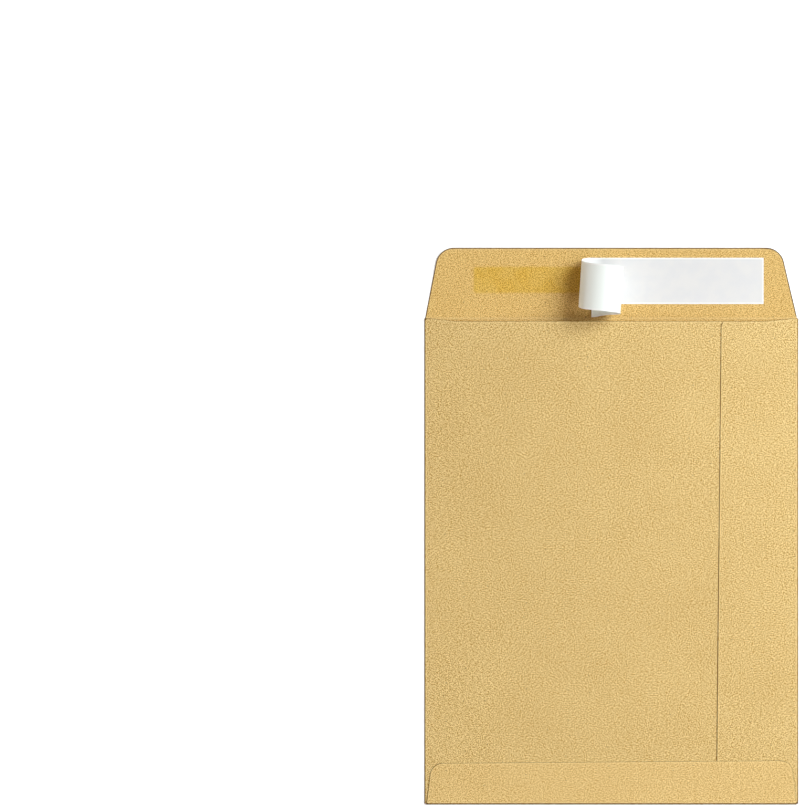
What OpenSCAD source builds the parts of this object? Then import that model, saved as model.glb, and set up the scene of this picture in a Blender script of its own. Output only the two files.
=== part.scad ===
// Open-end envelope of brown paper, lying on its front panel with the back up.
// The seal flap is open, and the release liner is peeled from the left half of the adhesive.
// All lengths are in millimetres. The envelope lies on z = 0 and +Y runs from the bottom fold
// to the seal flap. The origin is the middle of the outline.

/* [Body] */
// Width of the closed body, from side fold to side fold
body_w = 254; // [190:1:330]
// Height of the body, from the bottom fold to the score of the seal flap
body_h = 330.2; // [250:0.1:420]
// Thickness of the paper
paper_t = 0.15; // [0.1:0.01:0.25]
// Inside radius of the side folds
fold_r = 0.2; // [0.1:0.05:0.4]

/* [Mouth] */
// Height by which the back stands off the front, in the middle of the mouth
gape = 8; // [5:0.5:14]
// Distance from the score to the edge of the back panels
throat_cut = 2; // [1:0.1:6]
// Stretch beside each side fold over which that edge runs up to the score
throat_run = 25; // [10:1:40]

/* [Back seam] */
// Distance from the right fold to the free edge of the right panel, at the mouth
seam_in_top = 52.9; // [48:0.1:80]
// The same distance at the bottom fold
seam_in_bottom = 55.9; // [48:0.1:80]
// Width of the left panel that lies under the right one, at the mouth
lap_w = 15; // [13:0.5:22]
// Cut across the corner of the right panel, at the mouth
seam_corner = 2; // [0.5:0.1:4]
// Width over which the right panel climbs from its fold onto the left one
climb_w = 12; // [6:1:18]
// Width of the glue stripe in the seam
seam_glue_w = 8; // [3:0.5:9]
// Distance that the stripe stops short of the mouth
seam_glue_stop = 12; // [5:1:30]
// Thickness of the glue in the seam and under the bottom flap
glue_t = 0.05; // [0.03:0.01:0.1]

/* [Bottom flap] */
// Height of the bottom flap at its left end
bottom_flap_left_h = 27.2; // [20:0.1:50]
// Height of the bottom flap at its right end
bottom_flap_right_h = 29.2; // [20:0.1:50]
// Distance from each side fold to the flap's end, at the bottom fold
bottom_flap_in = 1.2; // [0.8:0.1:5]
// Distance that each end leans inwards over the flap's height
bottom_flap_lean = 3.4; // [0:0.1:12]
// Radius of the flap's corners
bottom_flap_r = 8.5; // [2:0.5:10]
// Margin between the glue and the flap's edges
bottom_glue_margin = 4; // [2:0.5:6]

/* [Seal flap] */
// Height of the seal flap above its score
seal_flap_h = 47.9; // [45:0.1:70]
// Distance from each side fold to the flap's end, at the score
seal_flap_in = 0.8; // [0.5:0.1:5]
// Distance that each end leans inwards over the flap's height
seal_flap_lean = 10.6; // [0:0.1:16]
// Radius of the flap's corners
seal_flap_r = 9.7; // [2:0.1:16]
// Height by which the flap's free edge stands off the surface below
seal_flap_rise = 1.2; // [0.4:0.1:6]

/* [Adhesive] */
// Length of the adhesive band
gum_w = 189.6; // [120:0.1:200]
// Height of the adhesive band
gum_h = 20.3; // [10:0.1:24]
// Thickness of the adhesive band
gum_t = 0.05; // [0.03:0.01:0.1]
// Radius of the band's corners
gum_r = 3.4; // [1:0.1:5]
// Distance from the score to the lower edge of the band
gum_y = 16; // [12:0.1:20]

/* [Release liner] */
// Length of the liner strip
liner_w = 208; // [170:0.1:220]
// Height of the liner strip
liner_h = 31.4; // [20:0.1:36]
// Thickness of the liner strip
liner_t = 0.08; // [0.05:0.01:0.15]
// Distance from the score to the lower edge of the liner
liner_y = 10.2; // [9.5:0.1:12]
// Distance from the middle of the liner to where it leaves the adhesive, to the left
peel_x = 7.7; // [0:0.1:30]
// Radius of the loop in which the peeled half curls
loop_r = 14.6; // [12:0.1:20]
// Height that the loop gains in one turn, so that the tail clears the strip below it
loop_rise = 1.2; // [0.6:0.1:4]
// Angle by which the axis of the loop leans to the right, which makes the tail drift down
loop_skew = 5.5; // [1:0.5:6]

/* [Hidden] */

paper_colour = "#d9ba79";
glue_colour = "#efe6cf";
gum_colour = "#d5ad52";
liner_colour = "#eeefec";

// Parts of a turn, of a climb and of a height that the meshed surfaces are divided into
fold_steps = 6;
climb_steps = 4;
height_steps = 16;
corner_steps = 10;
loop_step = 7.5;

half_w = body_w / 2;
fold_out_r = fold_r + paper_t;
// Where the panels leave the side folds, and the height of the back panels' inner face there
flat_x = half_w - fold_out_r;
panel_z = paper_t + 2 * fold_r;

score_y = (body_h - seal_flap_h) / 2;
bottom_y = score_y - body_h;
mouth_y = score_y - throat_cut;

// The bottom flap goes round both back panels and both films of glue, in one half turn
layer_t = paper_t + glue_t;
cover_z = panel_z + 2 * layer_t;
bottom_out_r = (cover_z + paper_t) / 2;
bottom_in_r = bottom_out_r - paper_t;
base_y = bottom_y + bottom_out_r;
bottom_flap_half_w = half_w - bottom_flap_in;

// The flap settles from the seam's height to that of the single panel beside it
settle_w = 2;
settle_h = 6;
// Strip in which neighbouring stretches of the sheet overlap, so that they become one solid
share_h = 0.5;
// The back begins to stand off the front just above the bottom flap
swell_margin = 2;
swell_y = bottom_y + max(bottom_flap_left_h, bottom_flap_right_h) + swell_margin;
// Bare strip between the glue under the bottom flap and the step at the seam
glue_gap = 1;

lap_x = half_w - seam_in_top + lap_w;
seam_top_x = half_w - seam_in_top;
seam_bottom_x = half_w - seam_in_bottom;
seam_low_x = min(seam_top_x, seam_bottom_x);
seam_high_x = max(seam_top_x, seam_bottom_x);
seam_glue_x = lap_x - (lap_w + seam_glue_w) / 2;

// Smooth step from 0 to 1
function ease(v) = v <= 0 ? 0 : v >= 1 ? 1 : v * v * (3 - 2 * v);

function mix(a, b, v) = a + (b - a) * v;

// Evenly spaced values from a to b, both ends included
function spread(a, b, n) = [for (i = [0:n]) mix(a, b, i / n)];

// X of the right panel's free edge at a height
function seam_x(y) = mix(seam_bottom_x, seam_top_x, (y - bottom_y) / body_h);

// Top edge of the back panels: a little below the score, and up to it beside the side folds
function throat_y(x) = score_y - throat_cut * (1 - ease((abs(x) - flat_x + throat_run) / throat_run));

// Inner face of the left panel: flat at the bottom, arched from fold to fold at the mouth
function arch_z(x, y) =
    panel_z + gape * (1 - pow(x / flat_x, 2)) * ease((y - swell_y) / (mouth_y - swell_y));

// Inner face of the right panel, which climbs onto the left one
function upper_z(x, y) = arch_z(x, y) + layer_t * ease((flat_x - x) / climb_w);

// Lower face of the bottom flap, which sinks beside the seam and at the right fold
function over_seam(x) = min(ease((x - seam_low_x + settle_w) / settle_w), ease((flat_x - x) / climb_w));

function flap_z(x, y) =
    cover_z - layer_t * (1 - over_seam(x)) * ease((y - base_y - share_h) / (settle_h - share_h));

// Rise of the open seal flap, which curls up a little towards its free edge
function rise_z(y) = seal_flap_rise * pow(max(0, y - score_y) / seal_flap_h, 2);

// Heights at which the flap, the adhesive and the liner bend together
gum_heights = spread(gum_y, gum_y + gum_h, 4);
liner_heights = concat([liner_y], gum_heights, [liner_y + liner_h]);
flap_heights = concat([-share_h, 0, liner_y / 2], liner_heights, [seal_flap_h]);

// Closed sheet between two grids of points, with rows of equal length. The first grid is the
// face towards which the direction along a row, turned to that of the rows, points.
module sheet(face, back) {
    rows = len(face);
    cols = len(face[0]);
    all_points = [for (grid = [face, back]) for (row = grid) for (p = row) p];
    function at(side, i, j) = (side * rows + i) * cols + j;
    function quad(a, b, c, d) = [[a, b, c], [a, c, d]];
    skin = [
        for (i = [0:rows - 2])
            for (j = [0:cols - 2])
                each [
                    [at(0, i, j), at(0, i + 1, j), at(0, i + 1, j + 1)],
                    [at(0, i, j), at(0, i + 1, j + 1), at(0, i, j + 1)],
                    [at(1, i, j), at(1, i, j + 1), at(1, i + 1, j + 1)],
                    [at(1, i, j), at(1, i + 1, j + 1), at(1, i + 1, j)]
                ]
    ];
    ends = [
        for (j = [0:cols - 2])
            each concat(
                quad(at(0, 0, j), at(0, 0, j + 1), at(1, 0, j + 1), at(1, 0, j)),
                quad(
                    at(0, rows - 1, j + 1), at(0, rows - 1, j),
                    at(1, rows - 1, j), at(1, rows - 1, j + 1)
                )
            )
    ];
    sides = [
        for (i = [0:rows - 2])
            each concat(
                quad(at(0, i + 1, 0), at(0, i, 0), at(1, i, 0), at(1, i + 1, 0)),
                quad(
                    at(0, i, cols - 1), at(0, i + 1, cols - 1),
                    at(1, i + 1, cols - 1), at(1, i, cols - 1)
                )
            )
    ];
    polyhedron(points=all_points, faces=concat(skin, ends, sides), convexity=6);
}

// Points of the arc of radius r that rounds corner b of the path a, b, c
function round_corner(a, b, c, r) =
    let (
        back = (a - b) / norm(a - b),
        ahead = (c - b) / norm(c - b),
        half = acos(back * ahead) / 2,
        middle = (back + ahead) / norm(back + ahead),
        centre = b + middle * r / sin(half),
        from = b + back * r / tan(half) - centre,
        to = b + ahead * r / tan(half) - centre,
        turn = 180 - 2 * half
    )
    [
        for (i = [0:corner_steps])
            let (done = turn * i / corner_steps)
            centre + (from * sin(turn - done) + to * sin(done)) / sin(turn)
    ];

// Rows of the sleeve: one at the bottom, then from the end of the bottom flap to the mouth
function row_y(k, top) =
    k == 0 ? base_y
    : k > height_steps ? top
    : mix(swell_y, top - seam_glue_stop, (k - 1) / (height_steps - 1));

// Stations along one turn of paper, each with its kind and its place
LEFT_PANEL = 0;
LEFT_FOLD = 1;
RIGHT_FOLD = 2;
RIGHT_PANEL = 3;
AT_SEAM = 1e6;

lap_stations = [AT_SEAM, seam_top_x + seam_corner, seam_glue_x, seam_glue_x + seam_glue_w, lap_x];
left_stations = concat(spread(-flat_x, seam_low_x - settle_w, 16), lap_stations);
right_stations = concat(lap_stations, spread(flat_x - climb_w, flat_x, climb_steps));

stations = concat(
    [for (x = right_stations) [RIGHT_PANEL, x]],
    [for (turn = spread(90, -90, fold_steps)) if (turn < 90) [RIGHT_FOLD, turn]],
    [for (turn = spread(-90, 90, fold_steps)) if (turn < 90) [LEFT_FOLD, turn]],
    [for (x = left_stations) [LEFT_PANEL, x]]
);

// Point of the sleeve at a row and a station, on its outer face (depth 0) or its inner face
function sleeve_point(k, station, depth) =
    let (kind = station[0], place = station[1])
    kind == LEFT_FOLD || kind == RIGHT_FOLD
    ? let (
        side = kind == RIGHT_FOLD ? 1 : -1,
        r = fold_out_r - depth
    )
    [side * (flat_x + r * cos(place)), row_y(k, score_y), fold_out_r + r * sin(place)]
    : let (
        free_edge = place == AT_SEAM,
        near_x = free_edge ? seam_top_x : place,
        cut = free_edge && kind == RIGHT_PANEL ? seam_corner : 0,
        y = row_y(k, throat_y(near_x) - cut),
        x = free_edge ? seam_x(y) : place,
        z = kind == RIGHT_PANEL ? upper_z(x, y) : arch_z(x, y)
    )
    [x, y, z + paper_t - depth];

function sleeve_grid(depth) =
    [for (k = [0:height_steps + 1]) [for (station = stations) sleeve_point(k, station, depth)]];

module sleeve() {
    sheet(sleeve_grid(0), sleeve_grid(paper_t));
}

// Strip of sheet across the seal flap at the given heights above the score
module flap_strip(heights, from_z, to_z) {
    function grid(z) =
        [
            for (h = heights)
                let (y = score_y + h)
                [for (x = [-half_w, half_w]) [x, y, rise_z(y) + z]]
        ];
    sheet(grid(to_z), grid(from_z));
}

module seal_flap() {
    base = half_w - seal_flap_in;
    tip = base - seal_flap_lean;
    low_right = [base, score_y];
    high_right = [tip, score_y + seal_flap_h];
    high_left = [-tip, score_y + seal_flap_h];
    low_left = [-base, score_y];
    down = [0, -share_h];
    intersection() {
        flap_strip(flap_heights, 0, paper_t);
        linear_extrude(2 * (seal_flap_rise + paper_t), center=true)
            polygon(concat(
                [low_right + down, low_right],
                round_corner(low_right, high_right, high_left, seal_flap_r),
                round_corner(high_right, high_left, low_left, seal_flap_r),
                [low_left, low_left + down]
            ));
    }
}

// Half turn at the bottom fold, from the front panel up to the bottom flap
module bottom_bend() {
    translate([-bottom_flap_half_w, base_y, bottom_out_r])
        rotate([90, 0, 90])
            linear_extrude(2 * bottom_flap_half_w)
                difference() {
                    union() {
                        circle(bottom_out_r, $fn=64);
                        translate([0, -bottom_out_r])
                            square([share_h, 2 * bottom_out_r]);
                    }
                    circle(bottom_in_r, $fn=64);
                    translate([0, -bottom_in_r])
                        square([2 * share_h, 2 * bottom_in_r]);
                    translate([share_h, -2 * bottom_out_r])
                        square(4 * bottom_out_r);
                }
}

function flap_grid(lift) =
    [
        for (y = concat([base_y], spread(base_y + share_h, base_y + settle_h, climb_steps), [swell_y]))
            [
                for (x = concat(
                    [-half_w],
                    spread(seam_low_x - settle_w, seam_low_x, climb_steps),
                    spread(flat_x - climb_w, flat_x, climb_steps),
                    [half_w]
                ))
                    [x, y, flap_z(x, y) + lift]
            ]
    ];

module bottom_flap() {
    tip = bottom_flap_half_w - bottom_flap_lean;
    low_right = [bottom_flap_half_w, base_y];
    high_right = [tip, bottom_y + bottom_flap_right_h];
    high_left = [-tip, bottom_y + bottom_flap_left_h];
    low_left = [-bottom_flap_half_w, base_y];
    intersection() {
        sheet(flap_grid(paper_t), flap_grid(0));
        linear_extrude(2 * (cover_z + paper_t))
            polygon(concat(
                [low_right],
                round_corner(low_right, high_right, high_left, bottom_flap_r),
                round_corner(high_right, high_left, low_left, bottom_flap_r),
                [low_left]
            ));
    }
}

// The envelope is one sheet: front panel, side folds, two lapped back panels and two flaps
module folded_sheet() {
    color(paper_colour) {
        sleeve();
        seal_flap();
        bottom_bend();
        bottom_flap();
    }
}

// Stripe of glue that holds the right panel on the left one
module seam_glue() {
    function grid(lift) =
        [
            for (k = [0:height_steps])
                [
                    for (x = [seam_glue_x, seam_glue_x + seam_glue_w])
                        let (y = row_y(k, throat_y(x)))
                        [x, y, arch_z(x, y) + paper_t + lift]
                ]
        ];
    color(glue_colour)
        sheet(grid(glue_t), grid(0));
}

// Glue that holds the bottom flap, beside the seam and on the right panel
module bottom_glue() {
    low_y = base_y + settle_h;
    high_y = bottom_y + min(bottom_flap_left_h, bottom_flap_right_h) - bottom_glue_margin;
    left_x = -bottom_flap_half_w + bottom_flap_lean + bottom_glue_margin;
    single_z = panel_z + paper_t;
    function patch(from_x, to_x, z) = [[from_x, low_y, z], [to_x - from_x, high_y - low_y, glue_t]];
    patches = [
        patch(left_x, seam_low_x - settle_w - glue_gap, single_z),
        patch(seam_high_x + glue_gap, flat_x - climb_w, single_z + layer_t)
    ];
    color(glue_colour)
        for (p = patches)
            translate(p[0])
                cube(p[1]);
}

// Band of adhesive on the inner side of the seal flap
module seal_adhesive() {
    left = -gum_w / 2;
    right = gum_w / 2;
    low = score_y + gum_y;
    high = low + gum_h;
    corners = [[right, low], [right, high], [left, high], [left, low]];
    color(gum_colour)
        intersection() {
            flap_strip(gum_heights, paper_t, paper_t + gum_t);
            linear_extrude(2 * (seal_flap_rise + paper_t + gum_t))
                polygon([
                    for (i = [0:3])
                        each round_corner(corners[(i + 3) % 4], corners[i], corners[(i + 1) % 4], gum_r)
                ]);
        }
}

// The liner is a straight strip that rolls up on a leaning cylinder. Its length s runs to the
// left from the peel line and its height w runs up from its middle. The direction p is square
// to the axis of the loop and q is along it, so lines of equal p stay straight in the roll.
peel_len = liner_w / 2 - peel_x;
liner_z = paper_t + gum_t;
peel_point = [-peel_x, score_y + liner_y + liner_h / 2];
tail_margin = 0.5;

function roll_p(s, w) = s * cos(loop_skew) + w * sin(loop_skew);

function roll_q(s, w) = w * cos(loop_skew) - s * sin(loop_skew);

// Point of the strip at p and q, on its lower face (depth 0) or its upper one
function roll_point(p, q, depth) =
    let (
        turn = max(0, p) / loop_r * 180 / PI,
        r = loop_r - depth,
        along = p < 0 ? p : r * sin(turn),
        x = peel_point[0] - along * cos(loop_skew) + q * sin(loop_skew),
        y = peel_point[1] + along * sin(loop_skew) + q * cos(loop_skew)
    )
    [x, y, liner_z + loop_r - r * cos(turn) + loop_rise * turn / 360 + rise_z(y)];

module release_liner() {
    half_h = liner_h / 2;
    // Lines along the strip, from its lower edge to its upper one
    across = [for (h = liner_heights) h - liner_y - half_h];
    start_s = -liner_w / 2 - peel_x;
    // The last line of the roll that reaches from edge to edge, short of the slanting tail end
    last_p = peel_len * cos(loop_skew) - half_h * sin(loop_skew) - tail_margin;
    roll_steps = ceil(last_p / loop_r * 180 / PI / loop_step);
    function end_line(s, depth) = [for (w = across) roll_point(roll_p(s, w), roll_q(s, w), depth)];
    function roll_line(p, depth) =
        [
            for (w = across)
                roll_point(p, (w - p * sin(loop_skew)) / cos(loop_skew), depth)
        ];
    function grid(depth) = concat(
        [end_line(start_s, depth)],
        [for (p = spread(0, last_p, roll_steps)) roll_line(p, depth)],
        [end_line(peel_len, depth)]
    );
    color(liner_colour)
        sheet(grid(liner_t), grid(0));
}

folded_sheet();
seam_glue();
bottom_glue();
seal_adhesive();
release_liner();
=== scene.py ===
"""Looks of an open-end envelope of brown paper that lies on its front, with its seal flap open.

The envelope is one die-cut sheet. Its blank is laid out as grids, which are folded over the side
folds, the bottom fold and the score, and then get the thickness of the paper. The release liner is
half peeled off the adhesive band and rolls up in a loose loop. All lengths are in metres, and +Y
runs from the bottom fold to the seal flap.
"""

import logging
import math
from dataclasses import dataclass
from enum import Enum
from functools import cached_property
from typing import Callable, ClassVar, Dict, Iterable, List, Optional, Sequence, Tuple, Union

import bmesh
import bpy
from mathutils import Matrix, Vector


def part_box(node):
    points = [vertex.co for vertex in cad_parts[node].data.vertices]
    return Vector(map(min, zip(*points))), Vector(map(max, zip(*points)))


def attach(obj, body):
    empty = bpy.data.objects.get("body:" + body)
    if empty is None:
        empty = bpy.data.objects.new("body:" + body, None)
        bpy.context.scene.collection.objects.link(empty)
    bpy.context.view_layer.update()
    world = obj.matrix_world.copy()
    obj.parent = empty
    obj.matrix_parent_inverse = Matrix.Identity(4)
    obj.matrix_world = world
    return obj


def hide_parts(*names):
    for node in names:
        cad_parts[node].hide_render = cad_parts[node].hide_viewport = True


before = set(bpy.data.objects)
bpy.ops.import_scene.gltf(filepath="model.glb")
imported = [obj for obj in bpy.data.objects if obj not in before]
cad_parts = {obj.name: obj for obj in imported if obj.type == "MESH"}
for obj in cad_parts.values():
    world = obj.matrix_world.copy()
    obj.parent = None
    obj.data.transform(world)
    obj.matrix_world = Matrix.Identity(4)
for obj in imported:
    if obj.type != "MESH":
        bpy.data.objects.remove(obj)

logging.basicConfig(level=logging.INFO, format="%(message)s")
log = logging.getLogger("envelope")

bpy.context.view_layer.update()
BODY = "root"
MM = 0.001

Colour = Tuple[float, float, float]
Point = Tuple[float, float, float]


def ease(share: float) -> float:
    """Smooth step from 0 to 1."""
    v = min(1.0, max(0.0, share))
    return v * v * (3 - 2 * v)


def mix(a: float, b: float, share: float) -> float:
    """Value at a share of the way from a to b."""
    return a + (b - a) * share


def spaced(a: float, b: float, cell: float) -> List[float]:
    """Even steps from a to b.

    Args:
        a: First value.
        b: Last value.
        cell: Longest step that is allowed.

    Returns:
        The values, with both ends.
    """
    count = max(1, math.ceil(abs(b - a) / cell - 1e-6))
    return [mix(a, b, i / count) for i in range(count + 1)]


def chained(*runs: Sequence[float]) -> List[float]:
    """Joins runs of values, each of which starts where the last one ended.

    Args:
        runs: The runs.

    Returns:
        All values, each once.
    """
    joined = list(runs[0])
    for run in runs[1:]:
        joined += list(run)[1:]
    return joined


def linear(colour: Colour) -> Tuple[float, float, float, float]:
    """Turns a colour of 0 to 255 per channel, as seen on a screen, into the linear one of a node."""
    shares = [c / 255 for c in colour]
    return tuple(s / 12.92 if s < 0.04045 else ((s + 0.055) / 1.055) ** 2.4 for s in shares) + (1.0,)


def in_mm(lengths: Iterable[float]) -> List[float]:
    """Lengths in millimetres, for the log lines of a piece."""
    return [round(length / MM, 2) for length in lengths]


def placed(name: str, data: bpy.types.ID) -> bpy.types.Object:
    """Adds an object to the scene, at the origin.

    Args:
        name: The object's name.
        data: Its mesh, lamp or camera.

    Returns:
        The object.
    """
    made = bpy.data.objects.new(name, data)
    bpy.context.scene.collection.objects.link(made)
    return made


# Sizes


@dataclass(frozen=True)
class BodySizes:
    """Sizes of the sheet and of its folds. The outline comes from the box of the folded sheet in model.glb.

    Args:
        half_w: Half the width of the closed body.
        bottom_y: Height of the bottom fold.
        flap_top_y: Height of the seal flap's free edge.
        seal_flap_right: How far the seal flap's right side starts in from the fold, and how far it leans in.
        seal_flap_left: The same of its left side.
    """

    half_w: float
    bottom_y: float
    flap_top_y: float
    paper_t: float = 0.15 * MM
    glue_t: float = 0.05 * MM
    fold_in_r: float = 0.2 * MM
    gape: float = 8 * MM
    throat_cut: float = 2 * MM
    throat_run: float = 25 * MM
    seam_in_top: float = 52.9 * MM
    seam_in_bottom: float = 55.9 * MM
    lap_w: float = 15 * MM
    seam_corner: float = 2 * MM
    climb_w: float = 12 * MM
    seam_glue_w: float = 8 * MM
    seam_glue_stop: float = 12 * MM
    bottom_flap_left_h: float = 28.0 * MM
    bottom_flap_right_h: float = 29.9 * MM
    bottom_flap_in: float = 1.2 * MM
    bottom_flap_lean: float = 3.4 * MM
    bottom_flap_r: float = 8.5 * MM
    seal_flap_h: float = 47.9 * MM
    seal_flap_right: Tuple[float, float] = (0.8 * MM, 11.4 * MM)
    seal_flap_left: Tuple[float, float] = (0.4 * MM, 9.4 * MM)
    seal_flap_r: float = 12.2 * MM
    seal_flap_rise: float = 1.2 * MM
    swell_margin: float = 2 * MM
    settle_w: float = 2 * MM
    settle_start: float = 0.5 * MM
    settle_h: float = 6 * MM

    @property
    def fold_r(self) -> float:
        """Outer radius of the side folds."""
        return self.fold_in_r + self.paper_t

    @property
    def flat_x(self) -> float:
        """Distance from the middle at which the panels turn into the side folds."""
        return self.half_w - self.fold_r

    @property
    def panel_z(self) -> float:
        """Height of the back panels' inner face at the side folds."""
        return self.paper_t + 2 * self.fold_in_r

    @property
    def score_y(self) -> float:
        """Height of the seal flap's score."""
        return self.flap_top_y - self.seal_flap_h

    @property
    def layer_t(self) -> float:
        """Step from one panel up to the next: the paper and the glue on it."""
        return self.paper_t + self.glue_t

    @property
    def cover_z(self) -> float:
        """Lower face of the bottom flap where it lies on both back panels."""
        return self.panel_z + 2 * self.layer_t

    @property
    def bend_r(self) -> float:
        """Outer radius of the bottom fold, which goes round both back panels."""
        return (self.cover_z + self.paper_t) / 2

    @property
    def base_y(self) -> float:
        """Height at which the panels turn into the bottom fold."""
        return self.bottom_y + self.bend_r

    @property
    def swell_y(self) -> float:
        """Height above which the back stands off the front."""
        return self.bottom_y + max(self.bottom_flap_left_h, self.bottom_flap_right_h) + self.swell_margin

    @property
    def seam_top_x(self) -> float:
        """Free edge of the right panel at the mouth."""
        return self.half_w - self.seam_in_top

    @property
    def seam_bottom_x(self) -> float:
        """Free edge of the right panel at the bottom fold."""
        return self.half_w - self.seam_in_bottom

    @property
    def seam_low_x(self) -> float:
        """The seam's end that is nearer the middle."""
        return min(self.seam_top_x, self.seam_bottom_x)

    @property
    def lap_x(self) -> float:
        """Free edge of the left panel, under the right one."""
        return self.seam_top_x + self.lap_w

    def seam_x(self, y: float) -> float:
        """Free edge of the right panel at a height."""
        share = (y - self.bottom_y) / (self.score_y - self.bottom_y)
        return mix(self.seam_bottom_x, self.seam_top_x, share)

    def throat_y(self, x: float) -> float:
        """Top edge of the back panels: a little below the score, and up to it beside the folds."""
        run = ease((abs(x) - self.flat_x + self.throat_run) / self.throat_run)
        return self.score_y - self.throat_cut * (1 - run)

    def rise(self, y: float) -> float:
        """Height by which the open seal flap curls up off the table."""
        return self.seal_flap_rise * (max(0.0, y - self.score_y) / self.seal_flap_h) ** 2


@dataclass(frozen=True)
class Ripple:
    """One of the long waves in the back, as paper has that isn't pressed flat.

    Its length runs from crest to crest, its heading is in degrees from +X, and its start in turns.
    """

    length: float
    heading: float
    height: float
    start: float

    def lift(self, x: float, y: float) -> float:
        """Height of the wave at a point, which is below 0 in a trough."""
        along = x * math.cos(math.radians(self.heading)) + y * math.sin(math.radians(self.heading))
        return self.height * math.sin(2 * math.pi * (along / self.length + self.start))


RIPPLES = (
    Ripple(length=170 * MM, heading=78, height=0.22 * MM, start=0.15),
    Ripple(length=118 * MM, heading=24, height=0.16 * MM, start=0.6),
    Ripple(length=74 * MM, heading=-38, height=0.09 * MM, start=0.35),
    Ripple(length=51 * MM, heading=58, height=0.05 * MM, start=0.8),
)


@dataclass(frozen=True)
class BackForm:
    """Form of the two back panels: flat at the bottom, arched from fold to fold at the mouth.

    Args:
        sizes: Sizes of the sheet.
    """

    sizes: BodySizes
    ripple_start: float = 45 * MM

    def inner_z(self, x: float, y: float) -> float:
        """Inner face of the left panel.

        Args:
            x: Place across the envelope.
            y: Place along it.

        Returns:
            The face's height above the table.
        """
        s = self.sizes
        across = 1 - min(1.0, abs(x) / s.flat_x) ** 2
        mouth_y = s.score_y - s.throat_cut
        arch = s.gape * across * ease((y - s.swell_y) / (mouth_y - s.swell_y))
        calm = across * ease((y - s.swell_y) / self.ripple_start)
        return s.panel_z + arch + calm * sum(ripple.lift(x, y) for ripple in RIPPLES)

    def upper_z(self, x: float, y: float) -> float:
        """Inner face of the right panel, which climbs from its fold onto the left one."""
        s = self.sizes
        return self.inner_z(x, y) + s.layer_t * ease((s.flat_x - x) / s.climb_w)

    def bottom_flap_z(self, x: float, y: float) -> float:
        """Lower face of the bottom flap, which sinks beside the seam and at the right fold.

        Args:
            x: Place across the envelope.
            y: Place along it.

        Returns:
            The face's height above the table.
        """
        s = self.sizes
        over = min(ease((x - s.seam_low_x + s.settle_w) / s.settle_w), ease((s.flat_x - x) / s.climb_w))
        settled = ease((y - s.base_y - s.settle_start) / (s.settle_h - s.settle_start))
        return s.cover_z - s.layer_t * (1 - over) * settled


@dataclass(frozen=True)
class FlapOutline:
    """Half of a flap's outline: a side that leans inwards and a rounded corner.

    Args:
        base: Half the width at the fold.
        height: Height above the fold.
        lean: Distance that the side leans inwards over the height.
        corner_r: Radius of the corner.
    """

    base: float
    height: float
    lean: float
    corner_r: float

    @property
    def slant(self) -> float:
        """Angle of the side from upright, in radians."""
        return math.atan(self.lean / self.height)

    @property
    def centre(self) -> Tuple[float, float]:
        """Centre of the corner's arc."""
        y = self.height - self.corner_r
        x = self.base - (self.corner_r + y * math.sin(self.slant)) / math.cos(self.slant)
        return x, y

    @property
    def arc_start(self) -> float:
        """Height at which the side turns into the corner."""
        return self.centre[1] + self.corner_r * math.sin(self.slant)

    def half_width(self, h: float) -> float:
        """Half the flap's width.

        Args:
            h: Height above the fold.

        Returns:
            The distance from the middle to the outline.
        """
        if h <= self.arc_start:
            return self.base - h * math.tan(self.slant)
        x, y = self.centre
        return x + math.sqrt(max(0.0, self.corner_r**2 - (h - y) ** 2))

    def facing(self, h: float) -> float:
        """Share of the outline's normal that points sideways.

        Args:
            h: Height above the fold.

        Returns:
            The share, 1 where the outline runs upright and 0 where it is level.
        """
        if h <= self.arc_start:
            return math.cos(self.slant)
        return math.sqrt(max(0.0, 1 - ((h - self.centre[1]) / self.corner_r) ** 2))

    def inset(self, x: float, h: float) -> float:
        """Distance from a point on the flap to the nearest of its free edges.

        Args:
            x: Distance of the point from the middle.
            h: Its height above the fold.

        Returns:
            The distance.
        """
        cx, cy = self.centre
        side = (self.base - abs(x)) * math.cos(self.slant) - h * math.sin(self.slant)
        if h > cy and abs(x) > cx:
            return min(side, self.corner_r - math.hypot(abs(x) - cx, h - cy))
        return min(side, self.height - h)

    def rows(self, cell: float, steps: int) -> List[float]:
        """Heights of the flap's rows.

        Args:
            cell: Longest step on the straight part.
            steps: Number of steps round the corner.

        Returns:
            The heights, from the fold to the free edge.
        """
        straight = spaced(0, self.arc_start, cell)
        turns = [mix(self.slant, math.pi / 2, i / steps) for i in range(1, steps + 1)]
        return straight + [self.centre[1] + self.corner_r * math.sin(turn) for turn in turns]


# Meshes


class Mark(Enum):
    """Attributes of the vertices that the finishes read."""

    EDGE = "edge"
    CREASE = "crease"
    PALE = "pale"


@dataclass
class Spot:
    """Place of one corner of a grid, and its marks.

    Args:
        at: The place.
        edge: 1 on a cut edge or a fold, and 0 away from it.
        crease: 1 on a scored or pressed line, and 0 away from it.
        pale: 1 where the sheet is painted paler all over: on the bottom flap, and on the liner's peeled
            roll, where this is partly painted light.
    """

    at: Point
    edge: float = 0.0
    crease: float = 0.0
    pale: float = 0.0


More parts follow.
